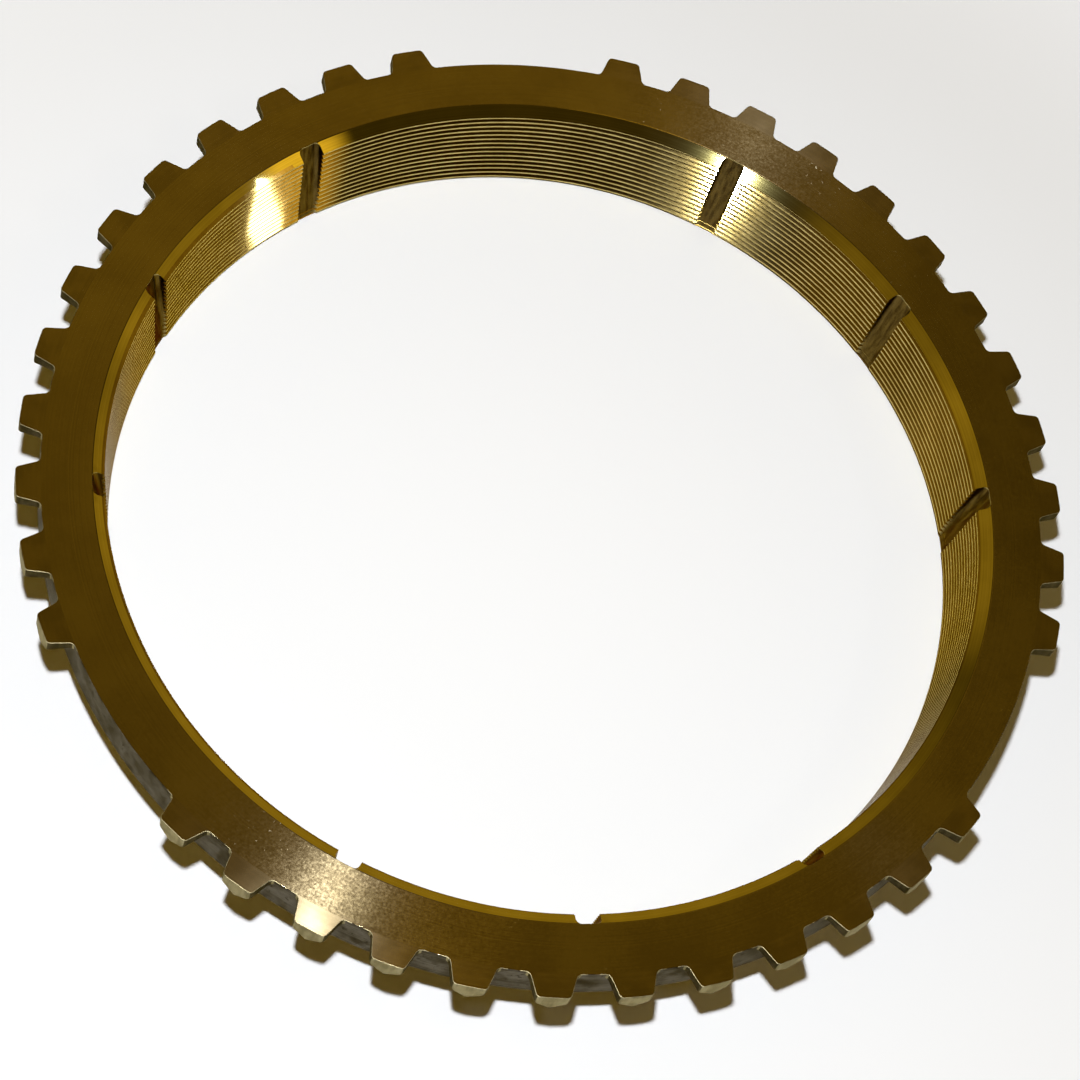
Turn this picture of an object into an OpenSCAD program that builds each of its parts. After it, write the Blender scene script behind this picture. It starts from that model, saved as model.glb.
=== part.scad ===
// Synchronizer ring: one turned and milled brass ring.
// A friction cone with oil grooves runs through it, and its flange carries
// groups of locking teeth with plain arcs between them.
// The axis is Z, the back face lies on z = 0, and one plain arc faces +Y.

/* [Friction cone] */
// Diameter of the cone at its large end, at the foot of the bevel
cone_d = 75.3; // [65:0.1:90]
// Half angle of the cone, in degrees
cone_angle = 5.4; // [4:0.1:8]
// Height of the bevel at the mouth of the cone
bevel_h = 0.6; // [0.4:0.05:1.5]
// Width of the bevel, measured radially
bevel_w = 1.05; // [0.6:0.05:1.6]

/* [Body] */
// Height of the whole ring
ring_h = 9.5; // [8.5:0.1:12]
// Thickness of the toothed flange
flange_h = 4.5; // [3.5:0.1:5]
// Width of the flat front face, from the bevel to the tooth roots
face_w = 4.3; // [3.5:0.1:6]
// Wall of the hub at its back end
hub_wall = 2.9; // [2.4:0.1:3.3]
// Fillet in the corner between the hub and the flange
hub_fillet = 0.6; // [0.3:0.1:1]
// Chamfer on the outer edge of the hub's back face
hub_chamfer = 0.5; // [0.2:0.1:0.8]
// Chamfer on the back edge of the flange
flange_chamfer = 0.3; // [0.1:0.1:0.6]
// Chamfer on the small end of the cone
cone_chamfer = 0.25; // [0.1:0.05:0.5]

/* [Teeth] */
// Tooth places round the full circle, a multiple of the number of plain arcs
tooth_places = 42; // [36:3:48]
// Plain arcs in the row of teeth
arc_count = 3; // [2:1:3]
// Tooth places left empty at each plain arc
empty_places = 2; // [1:1:3]
// Height of a tooth above the root circle
tooth_h = 2; // [1.5:0.1:2.5]
// Width of a tooth at its tip
tip_w = 2.75; // [2:0.05:3]
// Angle of a tooth flank from the tooth's centre line, in degrees
flank_angle = 16; // [10:0.5:20]
// Length of a tooth along the axis, from the front face to its ridge
ridge_h = 2.35; // [1.8:0.05:3]
// Angle between the two locking faces at the back of a tooth, in degrees
roof_angle = 108; // [100:1:125]
// Chamfer on the corners of the tooth tip
tip_chamfer = 0.25; // [0.1:0.05:0.4]
// Chamfer in the corners of the tooth root
root_chamfer = 0.25; // [0.1:0.05:0.4]

/* [Oil grooves] */
// Oil grooves between one plain arc and the next
groove_count = 3; // [1:1:4]
// Width of a groove
groove_w = 2.1; // [1.8:0.05:3]
// Depth of a groove below the surface of the cone, at the foot of the bevel
groove_depth = 0.97; // [0.7:0.01:1.3]
// Depth of a groove where it runs out, at the small end of the cone
groove_end_depth = 0.22; // [0.1:0.02:0.6]
// Radius of the corners along the groove's floor
groove_corner = 0.45; // [0.3:0.05:0.85]

/* [Key slots] */
// Width of the slot that a shift key rests in, behind each plain arc
slot_w = 12; // [8:0.5:16]
// Depth of the slot into the hub's outside
slot_depth = 1.3; // [0.8:0.1:1.5]
// Height of the slot above the back face
slot_h = 3.4; // [2.5:0.1:3.8]

/* [Hidden] */
$fn = 180;
brass = [0.55, 0.42, 0.14];

// How far a cutter runs past the surface that it cuts
over = 1;
// How far a tooth reaches into the flange
tooth_sink = 1;

flange_z = ring_h - flange_h;
cone_r = cone_d / 2;
cone_end_r = cone_r - (ring_h - bevel_h) * tan(cone_angle);
mouth_r = cone_r + bevel_w;
root_r = mouth_r + face_w;
tip_r = root_r + tooth_h;
hub_r = cone_end_r + hub_wall;

arc_step = 360 / arc_count;
tooth_step = 360 / tooth_places;
teeth_in_group = tooth_places / arc_count - empty_places;
groove_step = arc_step / (groove_count + 1);

// Radius of the cone at a height above the back face
function cone_radius(z) = cone_end_r + z * tan(cone_angle);

// Half the width of a tooth at a distance from the axis
function half_tooth(r) = tip_w / 2 + (tip_r - r) * tan(flank_angle);

// Half of a tooth's outline, from its foot inside the flange to past its tip
function tooth_side(foot_r) = [
    [foot_r, half_tooth(root_r) + root_chamfer + root_r - foot_r],
    [root_r + root_chamfer, half_tooth(root_r + root_chamfer)],
    [tip_r - tip_chamfer, half_tooth(tip_r - tip_chamfer)],
    [tip_r + over, half_tooth(tip_r - tip_chamfer) - tip_chamfer - over]
];

function mirrored(points) = [
    for (i = [len(points) - 1 : -1 : 0]) [points[i].x, -points[i].y]
];

// Section of the ring without teeth, grooves and slots
module ring_section() {
    polygon([
        [cone_radius(cone_chamfer), cone_chamfer],
        [cone_end_r + cone_chamfer, 0],
        [hub_r - hub_chamfer, 0],
        [hub_r, hub_chamfer],
        [hub_r, flange_z],
        [root_r - flange_chamfer, flange_z],
        [root_r, flange_z + flange_chamfer],
        [root_r, ring_h],
        [mouth_r, ring_h],
        [cone_r, ring_h - bevel_h]
    ]);
    translate([hub_r, flange_z - hub_fillet])
        difference() {
            square(hub_fillet);
            translate([hub_fillet, 0]) circle(hub_fillet);
        }
}

// One tooth along +X: flat in front, straight flanks, and a back
// that two locking faces bring to a ridge
module tooth() {
    side = tooth_side(root_r - tooth_sink);
    roof_w = ridge_h * tan(roof_angle / 2);
    intersection() {
        translate([0, 0, ring_h - ridge_h])
            linear_extrude(ridge_h) polygon(concat(side, mirrored(side)));
        translate([root_r - 2 * tooth_sink, 0, ring_h])
            rotate([90, 0, 90])
            linear_extrude(tooth_h + 2 * tooth_sink + over)
            polygon([[0, -ridge_h], [roof_w, 0], [-roof_w, 0]]);
    }
}

// Groups of teeth with a plain arc between them, turned to the tip diameter
module teeth() {
    intersection() {
        for (arc = [0 : arc_count - 1], place = [0 : teeth_in_group - 1])
            rotate(90 + arc * arc_step + (place + (empty_places + 1) / 2) * tooth_step)
                tooth();
        cylinder(r = tip_r, h = ring_h);
    }
}

// Section of an oil groove, with its floor at x = 0 and its mouth towards -X
module groove_section() {
    reach = groove_depth + over;
    floor_w = groove_w - 2 * groove_corner;
    translate([-reach, -groove_w / 2]) square([reach - groove_corner, groove_w]);
    translate([-reach, -floor_w / 2]) square([reach, floor_w]);
    for (side = [-1, 1])
        translate([-groove_corner, side * floor_w / 2]) circle(groove_corner, $fn = 48);
}

// One oil groove along +X, which gets shallower towards the back face
module oil_groove() {
    rise = cone_r + groove_depth - cone_end_r - groove_end_depth;
    translate([cone_end_r + groove_end_depth, 0, 0])
        rotate([0, atan(rise / (ring_h - bevel_h)), 0])
        translate([0, 0, -over])
        linear_extrude(ring_h + 3 * over) groove_section();
}

// One shift key slot along +X, open at the back face
module key_slot() {
    translate([hub_r - slot_depth, -slot_w / 2, -over])
        cube([slot_depth + over, slot_w, slot_h + over]);
}

module synchronizer_ring() {
    color(brass)
        difference() {
            union() {
                rotate_extrude() ring_section();
                teeth();
            }
            for (arc = [0 : arc_count - 1]) {
                rotate(90 + arc * arc_step) key_slot();
                for (g = [1 : groove_count])
                    rotate(90 + arc * arc_step + g * groove_step) oil_groove();
            }
        }
}

synchronizer_ring();
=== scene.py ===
import math

import bmesh
import bpy
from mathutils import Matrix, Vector


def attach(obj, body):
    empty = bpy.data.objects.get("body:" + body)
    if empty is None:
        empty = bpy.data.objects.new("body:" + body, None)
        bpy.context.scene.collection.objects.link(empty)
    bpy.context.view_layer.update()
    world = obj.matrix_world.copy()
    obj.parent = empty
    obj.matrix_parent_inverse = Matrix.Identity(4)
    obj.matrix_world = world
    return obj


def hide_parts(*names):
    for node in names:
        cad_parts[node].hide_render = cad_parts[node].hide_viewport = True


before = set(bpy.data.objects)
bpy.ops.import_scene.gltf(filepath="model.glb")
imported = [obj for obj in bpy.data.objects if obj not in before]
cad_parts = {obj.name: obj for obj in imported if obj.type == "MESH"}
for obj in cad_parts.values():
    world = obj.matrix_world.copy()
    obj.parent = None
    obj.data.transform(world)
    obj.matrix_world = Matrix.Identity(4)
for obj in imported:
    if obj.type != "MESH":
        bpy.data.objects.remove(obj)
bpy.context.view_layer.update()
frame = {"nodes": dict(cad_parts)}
scene = bpy.context.scene
scene.view_settings.view_transform = "Standard"
print("frame loaded:", ", ".join(frame["nodes"]))


# Small modelling helpers. Pieces are drawn in millimetres and made metres at the end.

perMetre = 1000   # millimetres
sameSpot, sameCut = 0.0005, 0.0001   # points closer than this are one, while drawing and after the cuts


def deselectAll():
    if bpy.context.mode != "OBJECT":
        bpy.ops.object.mode_set(mode="OBJECT")
    bpy.ops.object.select_all(action="DESELECT")


def activate(*pieces):
    deselectAll()
    for piece in pieces:
        piece.select_set(True)
    bpy.context.view_layer.objects.active = pieces[0]


def drawChain(name, points):
    # one vertex, extruded from point to point
    deselectAll()
    bpy.ops.mesh.primitive_plane_add(size=1)
    piece = bpy.context.object
    piece.name = name
    bpy.ops.object.mode_set(mode="EDIT")
    bpy.ops.mesh.select_mode(type="VERT")
    bpy.ops.mesh.select_all(action="SELECT")
    bpy.ops.mesh.merge(type="CENTER")
    bpy.ops.transform.translate(value=points[0])
    for here, there in zip(points, points[1:]):
        step = Vector(there) - Vector(here)
        bpy.ops.mesh.extrude_region_move(TRANSFORM_OT_translate={"value": step})
    return piece


def pick(kind, test):
    # selects the vertices or faces of the open mesh whose place and normal pass the test
    bpy.ops.mesh.select_mode(type=kind)
    bpy.ops.mesh.select_all(action="DESELECT")
    data = bpy.context.edit_object.data
    mesh = bmesh.from_edit_mesh(data)
    for part in mesh.verts if kind == "VERT" else mesh.faces:
        place = part.co if kind == "VERT" else part.calc_center_median()
        if test(place, part.normal):
            part.select_set(True)
    mesh.select_flush_mode()
    bmesh.update_edit_mesh(data)


def roundCorners(corners, radius, segments):
    corners = [Vector(corner) for corner in corners]
    pick("VERT", lambda place, normal: min((place - c).length for c in corners) < 2 * sameSpot)
    bpy.ops.mesh.bevel(offset=radius, segments=segments, affect="VERTICES")


def coatFaces(piece, finish, test):
    # gives the faces that pass the test a finish of their own
    names = [slot.name for slot in piece.material_slots]
    if finish.name not in names:
        piece.data.materials.append(finish)
        names.append(finish.name)
    activate(piece)
    bpy.ops.object.mode_set(mode="EDIT")
    pick("FACE", test)
    piece.active_material_index = names.index(finish.name)
    bpy.ops.object.material_slot_assign()
    bpy.ops.object.mode_set(mode="OBJECT")


def copyRound(piece, angles):
    # copies of a piece that lies along +X, turned round the axis and joined to one
    copies = []
    for angle in angles:
        activate(piece)
        bpy.ops.object.duplicate()
        copy = bpy.context.object
        copy.rotation_euler.z += math.radians(angle)
        copies.append(copy)
    activate(piece)
    bpy.ops.object.delete()
    activate(*copies)
    bpy.ops.object.transform_apply(location=True, rotation=True, scale=True)
    bpy.ops.object.join()
    return bpy.context.object


def applyModifier(piece, kind, **settings):
    activate(piece)
    modifier = piece.modifiers.new(kind.lower(), kind)
    for key, value in settings.items():
        setattr(modifier, key, value)
    bpy.ops.object.modifier_apply(modifier=modifier.name)


def combine(piece, tool, operation):
    applyModifier(piece, "BOOLEAN", object=tool, operation=operation, solver="MANIFOLD",
                  material_mode="TRANSFER")
    activate(tool)
    bpy.ops.object.delete()


# Shader maths: a wire is a socket that can be added, multiplied and so on.

class Wire:
    def __init__(self, finish, socket):
        self.finish, self.socket = finish, socket

    def math(self, operation, *values):
        return self.finish.node("ShaderNodeMath", {"operation": operation}, dict(enumerate(values)))

    def __add__(self, other): return self.math("ADD", self, other)
    def __radd__(self, other): return self.math("ADD", other, self)
    def __sub__(self, other): return self.math("SUBTRACT", self, other)
    def __rsub__(self, other): return self.math("SUBTRACT", other, self)
    def __mul__(self, other): return self.math("MULTIPLY", self, other)
    def __rmul__(self, other): return self.math("MULTIPLY", other, self)
    def __truediv__(self, other): return self.math("DIVIDE", self, other)
    def __rtruediv__(self, other): return self.math("DIVIDE", other, self)
    def __pow__(self, other): return self.math("POWER", self, other)
    def __rpow__(self, other): return self.math("POWER", other, self)


class Finish:
    def __init__(self, name, world=False):
        self.owner = (bpy.data.worlds if world else bpy.data.materials).new(name)
        self.owner.use_nodes = True
        self.tree = self.owner.node_tree
        self.shader = self.tree.nodes["Background" if world else "Principled BSDF"]
        self.place = self.node("ShaderNodeTexCoord", output="Generated" if world else "Object")

    def node(self, kind, settings=None, sockets=None, output=0):
        made = self.tree.nodes.new(kind)
        for key, value in (settings or {}).items():
            setattr(made, key, value)
        self.feed(made, sockets or {})
        return Wire(self, made.outputs[output])

    def feed(self, made, sockets):
        for key, value in sockets.items():
            socket = made.inputs[key]
            if isinstance(value, Wire):
                self.tree.links.new(value.socket, socket)
            elif socket.type == "RGBA":
                socket.default_value = (*value, 1)
            else:
                socket.default_value = value

    def radius(self):
        # distance from the ring's axis, in millimetres
        flat = self.node("ShaderNodeVectorMath", {"operation": "MULTIPLY"},
                         {0: self.place, 1: (perMetre, perMetre, 0)})
        return self.node("ShaderNodeVectorMath", {"operation": "LENGTH"}, {0: flat}, "Value")

    def height(self):
        return self.node("ShaderNodeSeparateXYZ", None, {0: self.place}, "Z") * perMetre

    def coneDepth(self):
        # how far a point lies below the surface of the cone or its bevel, in millimetres
        b, radius, height = bodySizes, self.radius(), self.height()
        spread = (b["mouthRadius"] - b["coneRadius"]) / (b["height"] - b["coneTop"])
        belowCone = radius - coneRadius(0) - slope * height
        belowBevel = radius - b["coneRadius"] - spread * (height - b["coneTop"])
        return self.node("ShaderNodeMath", {"operation": "MINIMUM"}, {0: belowCone, 1: belowBevel})

    def noise(self, scale, detail=2, roughness=0.5, stretch=(1, 1, 1)):
        # scale is in features per millimetre
        place = self.node("ShaderNodeVectorMath", {"operation": "MULTIPLY"},
                          {0: self.place, 1: [perMetre * s for s in stretch]})
        return self.node("ShaderNodeTexNoise", None,
                         {"Vector": place, "Scale": scale, "Detail": detail, "Roughness": roughness})

    def lines(self, along, scale, detail=2):
        # uneven lines across a length in millimetres
        return self.node("ShaderNodeTexNoise", {"noise_dimensions": "1D"},
                         {"W": along, "Scale": scale, "Detail": detail})

    def between(self, value, low, high, bottom=0.0, top=1.0):
        return self.node("ShaderNodeMapRange", {"interpolation_type": "SMOOTHSTEP"},
                         {"Value": value, "From Min": low, "From Max": high,
                          "To Min": bottom, "To Max": top})

    def mix(self, factor, first, second):
        return self.node("ShaderNodeMix", {"data_type": "RGBA"}, {0: factor, 6: first, 7: second}, 2)

    def tone(self, value, low, high, looks):
        # from the dark colour of a finish to its light one
        return self.mix(self.between(value, low, high), looks["dark"], looks["light"])

    def bump(self, height, distance):
        return self.node("ShaderNodeBump", None, {"Height": height, "Distance": distance, "Strength": 1.0})

    def done(self, **sockets):
        self.feed(self.shader, {key.replace("_", " "): value for key, value in sockets.items()})
        return self.owner


# Sizes of the ring's body in millimetres, which the finishes read too.

bodySizes = {
    "height": 9.5, "flangeBack": 5.0, "rootRadius": 43.0, "mouthRadius": 38.7,
    "coneRadius": 37.65, "coneTop": 8.9, "coneAngle": 5.4, "hubRadius": 39.71,
    "hubFillet": 0.6, "hubChamfer": 0.5, "flangeChamfer": 0.3, "coneChamfer": 0.25,
    "edgeBreak": 0.08, "steps": 360,
}
slope = math.tan(math.radians(bodySizes["coneAngle"]))


def coneRadius(z):
    return bodySizes["coneRadius"] + (z - bodySizes["coneTop"]) * slope


# Finishes of the one brass: turned, cut, threaded and rough.

faceLooks = {
    "dark": (0.43, 0.352, 0.20), "light": (0.565, 0.475, 0.29), "fleck": (0.75, 0.68, 0.5),
    "roughness": 0.08, "grainRoughness": 0.12, "fleckRoughness": 0.12, "relief": 0.0000015,
    "linesPerMm": 8.0, "patchesPerMm": 0.16, "grainPerMm": 5.0, "wornPerMm": 0.11, "flecksPerMm": 3.0,
}


def turnedFace():
    f, look = Finish("turnedFace"), faceLooks
    fine = f.lines(f.radius(), look["linesPerMm"], 3)
    patches = f.noise(look["patchesPerMm"], 3)
    grain = f.noise(look["grainPerMm"], 2, 0.6)
    worn = f.between(f.noise(look["wornPerMm"], 1), 0.52, 0.66)   # flecks gather in a few places
    flecks = worn * f.between(f.noise(look["flecksPerMm"], 1), 0.71, 0.76)
    colour = f.tone(0.5 * patches + 0.25 * fine + 0.25 * grain, 0.38, 0.62, look)
    colour = f.mix(flecks * 0.7, colour, look["fleck"])
    roughness = look["roughness"] + look["grainRoughness"] * grain + look["fleckRoughness"] * flecks
    return f.done(Base_Color=colour, Metallic=1.0, Roughness=roughness,
                  Normal=f.bump(grain, look["relief"]), Anisotropic=1.0, Anisotropic_Rotation=0.25)


frontLooks = {
    "dark": (0.41, 0.337, 0.20), "light": (0.53, 0.44, 0.28), "roughness": 0.15, "patchRoughness": 0.02,
    "linesPerMm": 8.0, "patchesPerMm": 0.4,
}


def toothFront():
    f, look = Finish("toothFront"), frontLooks
    fine = f.lines(f.radius(), look["linesPerMm"], 3)
    patches = f.noise(look["patchesPerMm"], 3)
    colour = f.tone(0.7 * patches + 0.3 * fine, 0.38, 0.62, look)
    roughness = look["roughness"] + look["patchRoughness"] * patches
    return f.done(Base_Color=colour, Metallic=1.0, Roughness=roughness,
                  Anisotropic=1.0, Anisotropic_Rotation=0.25)


bevelLooks = {
    "dark": (0.62, 0.55, 0.20), "light": (0.76, 0.69, 0.30), "roughness": 0.028, "lineRoughness": 0.01,
    "linesPerMm": 9.0, "patchesPerMm": 0.35,
}


def turnedBevel():
    f, look = Finish("turnedBevel"), bevelLooks
    fine = f.lines(f.radius(), look["linesPerMm"])
    patches = f.noise(look["patchesPerMm"])
    colour = f.tone(0.5 * fine + 0.5 * patches, 0.35, 0.65, look)
    roughness = look["roughness"] + look["lineRoughness"] * fine
    return f.done(Base_Color=colour, Metallic=1.0, Roughness=roughness)


# the root colour is painted shade: the thread darkens towards its roots, where shade falls
threadLooks = {
    "root": (0.27, 0.19, 0.05), "dark": (0.42, 0.32, 0.11), "light": (0.54, 0.43, 0.17),
    "tint": (0.7, 0.58, 0.3), "roughness": 0.045, "grainRoughness": 0.02,
    "patchesPerMm": 0.4, "grainPerMm": 3.0,
}


def cutThread():
    f, look = Finish("cutThread"), threadLooks
    patches = f.noise(look["patchesPerMm"], 3)
    grain = f.noise(look["grainPerMm"])
    colour = f.tone(0.6 * patches + 0.4 * grain, 0.36, 0.64, look)
    # painted shade: darker towards the roots of the thread, by depth below the cone
    colour = f.mix(f.between(f.coneDepth(), 0.04, 0.24), colour, look["root"])
    roughness = look["roughness"] + look["grainRoughness"] * grain
    return f.done(Base_Color=colour, Metallic=1.0, Roughness=roughness, Specular_Tint=look["tint"])


# the lighter rim colour is a painted highlight on the groove's lips and its shallow lower end
grooveLooks = {
    "dark": (0.035, 0.02, 0.006), "light": (0.15, 0.10, 0.028), "edge": (0.42, 0.34, 0.14),
    "tint": (0.4, 0.3, 0.12), "roughness": 0.24, "grainRoughness": 0.2, "relief": 0.00003,
    "streaksPerMm": 3.0, "grainPerMm": 6.0,
}


def roughGroove():
    f, look = Finish("roughGroove"), grooveLooks
    streaks = f.noise(look["streaksPerMm"], 2, 0.5, (1, 1, 0.05))
    grain = f.noise(look["grainPerMm"], 2, 0.6)
    colour = f.tone(0.7 * streaks + 0.3 * grain, 0.26, 0.74, look)
    # painted highlight: the lighter rim colour where the groove is shallow, on its lips and lower end
    colour = f.mix(f.between(f.coneDepth(), 0.06, 0.3, 0.75, 0.0), colour, look["edge"])
    roughness = look["roughness"] + look["grainRoughness"] * grain
    return f.done(Base_Color=colour, Metallic=1.0, Roughness=roughness, Specular_Tint=look["tint"],
                  Normal=f.bump(0.8 * streaks + 0.2 * grain, look["relief"]))


wallLooks = {
    "dark": (0.05, 0.045, 0.036), "light": (0.17, 0.154, 0.124), "pit": (0.018, 0.016, 0.013),
    "tint": (0.4, 0.37, 0.3), "roughness": 0.34, "blotchRoughness": 0.2, "relief": 0.00001,
    "blotchesPerMm": 0.6, "linesPerMm": 6.0, "pitsPerMm": 2.0,
}


def dullWall():
    f, look = Finish("dullWall"), wallLooks
    blotches = f.noise(look["blotchesPerMm"], 3, 0.6)
    rings = f.lines(f.height(), look["linesPerMm"])
    pits = f.between(f.noise(look["pitsPerMm"]), 0.62, 0.70)
    colour = f.tone(0.6 * blotches + 0.4 * rings, 0.36, 0.64, look)
    colour = f.mix(pits * 0.7, colour, look["pit"])
    roughness = look["roughness"] + look["blotchRoughness"] * blotches
    return f.done(Base_Color=colour, Metallic=1.0, Roughness=roughness, Specular_Tint=look["tint"],
                  Normal=f.bump(rings, look["relief"]))


milledLooks = {"tint": (0.6, 0.54, 0.38), "streakRoughness": 0.16, "relief": 0.000008,
               "blotchesPerMm": 0.8, "streaksPerMm": 3.0}
# the flank colours are painted shade: the tooth sides take a much darker copy of the milled brass than the
# lands
shadedFlankLooks = {"dark": (0.035, 0.028, 0.014), "light": (0.09, 0.072, 0.038), "roughness": 0.52}
landLooks = {"dark": (0.19, 0.165, 0.095), "light": (0.34, 0.30, 0.18), "roughness": 0.34}


def milled(name, own):
    # cut surfaces of a tooth, with fine streaks along the ring's axis
    f, look = Finish(name), {**milledLooks, **own}
    blotches = f.noise(look["blotchesPerMm"])
    streaks = f.noise(look["streaksPerMm"], 2, 0.5, (1, 1, 0.15))
    colour = f.tone(0.5 * blotches + 0.5 * streaks, 0.36, 0.64, look)
    roughness = look["roughness"] + look["streakRoughness"] * streaks
    return f.done(Base_Color=colour, Metallic=1.0, Roughness=roughness, Specular_Tint=look["tint"],
                  Normal=f.bump(streaks, look["relief"]))


# painted shade: the flanks get the dark copy of the milled brass
def toothFlank():
    return milled("toothFlank", shadedFlankLooks)


def toothLand():
    return milled("toothLand", landLooks)


hubLooks = {
    "dark": (0.24, 0.15, 0.035), "light": (0.38, 0.26, 0.08), "roughness": 0.30, "lineRoughness": 0.16,
    "relief": 0.000006, "anisotropy": 0.5, "linesPerMm": 5.0, "patchesPerMm": 0.3,
}


def turnedHub():
    f, look = Finish("turnedHub"), hubLooks
    fine = f.lines(f.radius() + f.height(), look["linesPerMm"], 3)
    patches = f.noise(look["patchesPerMm"], 3)
    colour = f.tone(0.5 * fine + 0.5 * patches, 0.36, 0.64, look)
    roughness = look["roughness"] + look["lineRoughness"] * fine
    return f.done(Base_Color=colour, Metallic=1.0, Roughness=roughness,
                  Normal=f.bump(fine, look["relief"]), Anisotropic=look["anisotropy"],
                  Anisotropic_Rotation=0.25)


finishes = {make.__name__: make() for make in (
    turnedFace, toothFront, turnedBevel, cutThread, roughGroove,
    dullWall, toothFlank, toothLand, turnedHub)}
print("finishes ready:", ", ".join(finishes))


# The ring's body, turned from one section.

def makeBody():
    s = bodySizes
    foot = coneRadius(0)
    mouth, rim = (s["mouthRadius"], 0, s["height"]), (s["rootRadius"], 0, s["height"])
    corner = (s["hubRadius"], 0, s["flangeBack"])
    section = [
        (coneRadius(s["coneChamfer"]), 0, s["coneChamfer"]),
        (foot + s["coneChamfer"], 0, 0),
        (s["hubRadius"] - s["hubChamfer"], 0, 0),
        (s["hubRadius"], 0, s["hubChamfer"]),
        corner,
        (s["rootRadius"] - s["flangeChamfer"], 0, s["flangeBack"]),
        (s["rootRadius"], 0, s["flangeBack"] + s["flangeChamfer"]),
        rim,
        mouth,
        (s["coneRadius"], 0, s["coneTop"]),
    ]
    body = drawChain("ring", section + section[:1])
    bpy.ops.mesh.select_all(action="SELECT")
    bpy.ops.mesh.remove_doubles(threshold=sameSpot)
    roundCorners([corner], s["hubFillet"], 6)
    roundCorners([mouth, rim], s["edgeBreak"], 3)
    bpy.ops.mesh.select_all(action="SELECT")
    bpy.ops.mesh.spin(steps=s["steps"], angle=math.tau, center=(0, 0, 0), axis=(0, 0, 1))
    bpy.ops.mesh.select_all(action="SELECT")
    bpy.ops.mesh.remove_doubles(threshold=sameSpot)
    bpy.ops.mesh.normals_make_consistent(inside=False)
    bpy.ops.object.mode_set(mode="OBJECT")

    level, steep = 0.93, 0.2   # how far the normals of the face and of the cone point up
    body.data.materials.append(finishes["turnedHub"])
    coatFaces(body, finishes["turnedFace"], lambda p, n: n.z > level and p.z > s["height"] - 0.1)
    coatFaces(body, finishes["turnedBevel"], lambda p, n: steep < n.z < level and p.z > s["coneTop"]
              and p.xy.length < s["mouthRadius"] + 0.1)
    coatFaces(body, finishes["cutThread"], lambda p, n: 0.05 < n.z < steep)
    coatFaces(body, finishes["dullWall"], lambda p, n: p.xy.length > s["rootRadius"] - 0.2
              and p.z > s["flangeBack"] and n.z < 0.85)
    return body


body = makeBody()
print("body turned:", len(body.data.polygons), "faces")


# One locking tooth, copied round in three groups.

toothSizes = {
    "places": 42, "groups": 3, "inGroup": 12, "tipRadius": 45.0, "tipWidth": 2.75, "flank": 16.0,
    "ridge": 2.35, "roof": 108.0, "sink": 1.2, "skirt": 0.8, "bite": 0.01, "below": 0.0005, "spare": 0.5,
    "tipRound": 0.28, "rootRound": 0.32, "edgeBreak": 0.045, "sharpEdge": 32.0,
}


def toothHalf(r):
    t = toothSizes
    return t["tipWidth"] / 2 + (t["tipRadius"] - r) * math.tan(math.radians(t["flank"]))


def makeTooth():
    t = toothSizes
    root, tip = bodySizes["rootRadius"], t["tipRadius"]
    front = bodySizes["height"] - t["below"]   # just under the face, so that the two don't coincide
    halfTip, halfRoot = t["tipWidth"] / 2, toothHalf(root)
    skirt = halfRoot + t["skirt"]

    def onCircle(r, y):
        return (math.sqrt(r * r - y * y), y, front)

    side = [(root - t["sink"], -skirt, front), onCircle(root - t["bite"], -skirt),
            onCircle(root - t["bite"], -halfRoot), onCircle(tip, -halfTip)]
    across = [onCircle(tip, y * halfTip) for y in (-0.5, 0, 0.5)]
    outline = side + across + [(x, -y, z) for x, y, z in reversed(side)]
    tooth = drawChain("tooth", outline)
    roundCorners([side[3], (side[3][0], -side[3][1], front)], t["tipRound"], 4)
    roundCorners([side[2], (side[2][0], -side[2][1], front)], t["rootRound"], 4)
    bpy.ops.mesh.select_all(action="SELECT")
    bpy.ops.mesh.edge_face_add()
    bpy.ops.mesh.extrude_region_move(TRANSFORM_OT_translate={"value": (0, 0, -t["ridge"] - t["spare"])})
    half = math.radians(t["roof"] / 2)
    for turn in (1, -1):   # the two locking faces
        bpy.ops.mesh.select_all(action="SELECT")
        bpy.ops.mesh.bisect(plane_co=(0, 0, front - t["ridge"]),
                            plane_no=(0, turn * math.cos(half), -math.sin(half)),
                            use_fill=True, clear_outer=True)
    bpy.ops.mesh.select_all(action="SELECT")
    bpy.ops.mesh.normals_make_consistent(inside=False)
    bpy.ops.mesh.select_mode(type="EDGE")
    bpy.ops.mesh.select_all(action="DESELECT")
    bpy.ops.mesh.edges_select_sharp(sharpness=math.radians(t["sharpEdge"]))
    bpy.ops.mesh.bevel(offset=t["edgeBreak"], segments=2, affect="EDGES")
    bpy.ops.object.mode_set(mode="OBJECT")
    tooth.data.materials.append(finishes["toothFlank"])
    coatFaces(tooth, finishes["toothLand"], lambda p, n: n.x > 0.75 or n.z > 0.3)   # tip and front edges
    coatFaces(tooth, finishes["toothFront"], lambda p, n: n.z > 0.95)
    return tooth


def addTeeth():
    t = toothSizes
    step, arc = 360 / t["places"], 360 / t["groups"]
    first = (t["places"] / t["groups"] - t["inGroup"] + 1) / 2
    angles = [90 + group * arc + (first + place) * step
              for group in range(t["groups"]) for place in range(t["inGroup"])]
    combine(body, copyRound(makeTooth(), angles), "UNION")


addTeeth()
print("teeth joined:", len(body.data.polygons), "faces")


# The friction thread, cut by a tap: a toothed section screwed by one pitch in a turn, then tapered.

threadSizes = {"pitch": 0.6, "depth": 0.307, "land": 0.17, "rootFlat": 0.05, "firstLand": 0.02,
               "turns": 16, "hand": -1, "clear": 0.05, "steps": 360}


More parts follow.
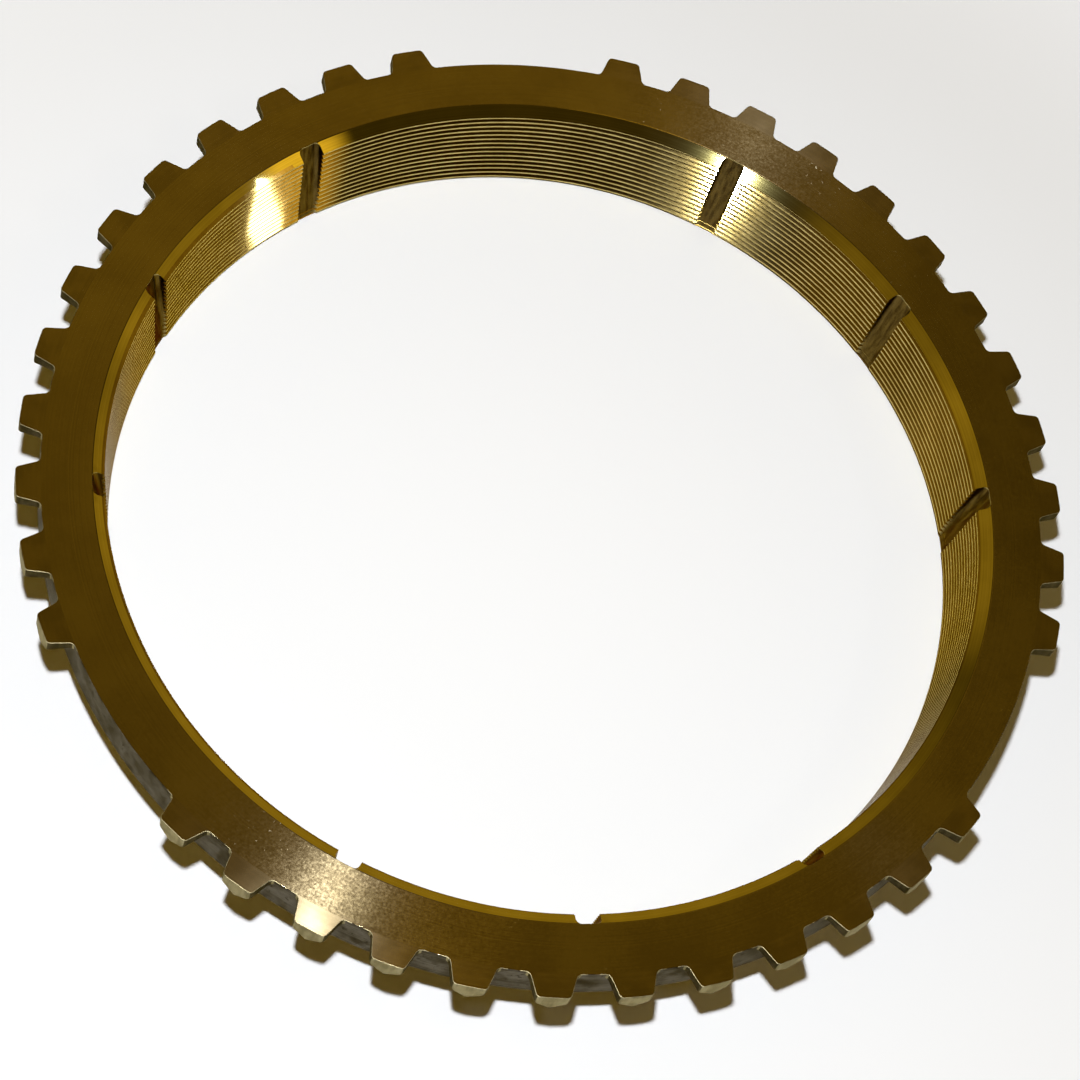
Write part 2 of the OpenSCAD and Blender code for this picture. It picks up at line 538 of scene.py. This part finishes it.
def makeTap():
    t = threadSizes
    pitch = t["pitch"]
    inner, outer = coneRadius(0) - t["clear"], coneRadius(0) + t["depth"]
    lean = ((pitch - t["land"]) / 2 - t["rootFlat"] / 2) / t["depth"]
    crest = t["land"] / 2 - t["clear"] * lean   # half the land where the tap runs clear
    points = []
    for turn in range(t["turns"]):
        base = t["firstLand"] + turn * pitch   # centre of one land
        points += [(inner, 0, base + crest), (outer, 0, base + pitch / 2 - t["rootFlat"] / 2),
                   (outer, 0, base + pitch / 2 + t["rootFlat"] / 2), (inner, 0, base + pitch - crest)]
    points = [(0, 0, points[0][2])] + points + [(0, 0, points[-1][2])]
    tap = drawChain("tap", points)
    bpy.ops.object.mode_set(mode="OBJECT")
    applyModifier(tap, "SCREW", angle=math.tau, screw_offset=t["hand"] * pitch, steps=t["steps"],
                  render_steps=t["steps"], use_merge_vertices=True, merge_threshold=sameSpot)
    bpy.ops.object.mode_set(mode="EDIT")
    bpy.ops.mesh.select_all(action="SELECT")
    bpy.ops.mesh.remove_doubles(threshold=sameSpot)
    bpy.ops.mesh.fill_holes(sides=0)   # the step at each end of the helix
    bpy.ops.mesh.normals_make_consistent(inside=False)
    bpy.ops.object.mode_set(mode="OBJECT")
    heights = [v.co.z for v in tap.data.vertices]
    applyModifier(tap, "SIMPLE_DEFORM", deform_method="TAPER", deform_axis="Z",
                  factor=slope / coneRadius(0) * (max(heights) - min(heights)))
    tap.data.materials.append(finishes["cutThread"])
    return tap


combine(body, makeTap(), "DIFFERENCE")
print("thread cut:", len(body.data.polygons), "faces")


# Oil grooves across the thread, and the shift key slots behind the plain arcs.

# "over" is how far a cutter runs past the ring
grooveSizes = {"width": 2.1, "depth": 0.97, "endDepth": 0.22, "corner": 0.45, "reach": 1.9, "over": 1.0,
               "step": 30}
slotSizes = {"width": 12.0, "depth": 1.3, "height": 3.4, "corner": 0.5, "over": 1.0,
             "angles": (90, 210, 330)}


def makeGroove():
    g = grooveSizes
    half, low = g["width"] / 2, -g["over"]
    corners = [(0, -half, low), (0, half, low)]
    outline = [(-g["reach"], -half, low)] + corners + [(-g["reach"], half, low)]
    groove = drawChain("groove", outline)
    roundCorners(corners, g["corner"], 8)
    bpy.ops.mesh.select_all(action="SELECT")
    bpy.ops.mesh.edge_face_add()
    length = bodySizes["height"] + 3 * g["over"]
    bpy.ops.mesh.extrude_region_move(TRANSFORM_OT_translate={"value": (0, 0, length)})
    bpy.ops.mesh.select_all(action="SELECT")
    bpy.ops.mesh.normals_make_consistent(inside=False)
    bpy.ops.object.mode_set(mode="OBJECT")
    start, end = coneRadius(0) + g["endDepth"], bodySizes["coneRadius"] + g["depth"]
    groove.rotation_euler.y = math.atan((end - start) / bodySizes["coneTop"])
    groove.location.x = start
    activate(groove)
    bpy.ops.object.transform_apply(location=True, rotation=True, scale=True)
    groove.data.materials.append(finishes["roughGroove"])
    return groove


def makeSlot():
    s, over = slotSizes, slotSizes["over"]
    deselectAll()
    bpy.ops.mesh.primitive_cube_add(size=1)
    slot = bpy.context.object
    slot.scale = (s["depth"] + over, s["width"], s["height"] + over)
    slot.location = (bodySizes["hubRadius"] - s["depth"] / 2 + over / 2, 0, s["height"] / 2 - over / 2)
    activate(slot)
    bpy.ops.object.transform_apply(location=True, rotation=True, scale=True)
    bpy.ops.object.mode_set(mode="EDIT")
    pick("VERT", lambda p, n: p.z > 0 and p.x < bodySizes["hubRadius"])
    bpy.ops.mesh.bevel(offset=s["corner"], segments=3, affect="EDGES")
    bpy.ops.object.mode_set(mode="OBJECT")
    slot.data.materials.append(finishes["turnedHub"])
    return slot


def cutGrooves():
    arcs = slotSizes["angles"]
    angles = [a for a in range(0, 360, grooveSizes["step"]) if a not in arcs]
    combine(body, copyRound(makeGroove(), angles), "DIFFERENCE")
    combine(body, copyRound(makeSlot(), arcs), "DIFFERENCE")


cutGrooves()
print("grooves and slots cut:", len(body.data.polygons), "faces")


def finishRing():
    activate(body)
    bpy.ops.object.mode_set(mode="EDIT")
    bpy.ops.mesh.select_all(action="SELECT")
    bpy.ops.mesh.remove_doubles(threshold=sameCut)
    bpy.ops.object.mode_set(mode="OBJECT")
    body.scale = [1 / perMetre] * 3
    bpy.ops.object.transform_apply(location=True, rotation=True, scale=True)
    bpy.ops.object.shade_smooth_by_angle(angle=math.radians(30))
    applyModifier(body, "WEIGHTED_NORMAL", mode="FACE_AREA", weight=100, keep_sharp=True)
    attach(body, "root")
    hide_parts("synchronizer_ring")


finishRing()
print("ring finished, finishes:", ", ".join(slot.name for slot in body.material_slots))


# Lamps, floor, surround and camera, in metres.

lamps = {
    "key": {"place": (-0.063, -0.074, 0.306), "size": (0.013, 0.013), "power": 1.0},
    "side": {"place": (0.4087, -0.1043, 0.4725), "size": (0.055, 0.028), "power": 0.068},
}


def makeLamps():
    for name, lamp in lamps.items():
        deselectAll()
        bpy.ops.object.light_add(type="AREA", location=lamp["place"])
        light = bpy.context.object
        light.name = name
        light.data.shape = "RECTANGLE"
        light.data.size, light.data.size_y = lamp["size"]
        light.data.energy = lamp["power"]
        light.rotation_euler = Vector(lamp["place"]).to_track_quat("Z", "Y").to_euler()


# the far colour comes in between two distances from the axis, in millimetres
floorLooks = {
    "colour": (0.885, 0.925, 0.985), "roughness": 0.8,
    "far": (0.75, 0.79, 0.87), "farFrom": 60, "farFull": 130,
    "reach": 3.0, "sides": 96, "backdrop": 0.37, "drop": 0.00002,
}


def makeFloor():
    look = floorLooks
    deselectAll()
    bpy.ops.mesh.primitive_circle_add(vertices=look["sides"], radius=look["reach"], fill_type="NGON",
                                      location=(0, 0, -look["drop"]))
    floor = bpy.context.object
    floor.name = "floor"
    bpy.ops.object.mode_set(mode="EDIT")
    bpy.ops.mesh.select_mode(type="EDGE")
    bpy.ops.mesh.select_all(action="SELECT")
    bpy.ops.mesh.extrude_edges_move(TRANSFORM_OT_translate={"value": (0, 0, look["backdrop"])})
    bpy.ops.object.mode_set(mode="OBJECT")

    # where the key lamp fades, the floor stays pale to the eye and in reflections
    f = Finish("paleFloor")
    camera, glossy, through = (f.node("ShaderNodeLightPath", output=ray)
                               for ray in ("Is Camera Ray", "Is Glossy Ray", "Is Transmission Ray"))
    key = lamps["key"]["place"]
    reach = f.node("ShaderNodeVectorMath", {"operation": "DISTANCE"}, {0: f.place, 1: key}, "Value")
    faded = f.between(f.radius(), look["farFrom"], look["farFull"]) * (1 - (key[2] / reach) ** 4)
    pale = f.mix((camera + glossy + through) * faded, (0, 0, 0), look["far"])
    floor.data.materials.append(f.done(Base_Color=look["colour"], Roughness=look["roughness"],
                                       Emission_Color=pale, Emission_Strength=1.0))


# glows are soft brighter places: azimuth, elevation, inner and outer half width in degrees, level
skyLooks = {
    "colour": (1.0, 0.615, 0.055), "low": 0.3, "high": 0.042, "lowEnd": 0.15, "highEnd": 0.65,
    "glows": [
        (78, 53, 5, 16, 0.148), (55, 70, 6, 16, 0.07), (142, 42, 8, 22, 0.2), (178, 57, 8, 20, 0.14),
        (-4, 42, 12, 22, 0.22), (24, 26, 8, 18, 0.12), (60, 85, 3, 8, 0.9), (-23, 49, 2, 7, 0.8),
    ],
}


def makeSky():
    # a soft warm surround, brightest low down and darker overhead
    f, look = Finish("studio", world=True), skyLooks
    rise = f.node("ShaderNodeSeparateXYZ", None, {0: f.place}, "Z")
    level = f.between(rise, look["lowEnd"], look["highEnd"], look["low"], look["high"])
    for *angles, strength in look["glows"]:
        azimuth, elevation, inner, outer = (math.radians(angle) for angle in angles)
        aim = (math.cos(elevation) * math.cos(azimuth), math.cos(elevation) * math.sin(azimuth),
               math.sin(elevation))
        near = f.node("ShaderNodeVectorMath", {"operation": "DOT_PRODUCT"}, {0: f.place, 1: aim}, "Value")
        level = level + f.between(near, math.cos(outer), math.cos(inner), 0.0, strength)
    scene.world = f.done(Color=f.mix(level, (0, 0, 0), look["colour"]))


cameraPose = {
    "place": (-0.0560567, -0.1262733, 0.2564547), "turn": (26.51942, -10.38897, -4.31398),
    "lens": 111.4742, "sensor": 36, "nearest": 0.01,
}


def makeCamera():
    deselectAll()
    bpy.ops.object.camera_add(location=cameraPose["place"],
                              rotation=[math.radians(a) for a in cameraPose["turn"]])
    camera = bpy.context.object
    camera.data.lens = cameraPose["lens"]
    camera.data.sensor_width = cameraPose["sensor"]
    camera.data.clip_start = cameraPose["nearest"]
    scene.camera = camera


makeLamps()
makeFloor()
makeSky()
makeCamera()
print("lamps, floor, surround and camera set")
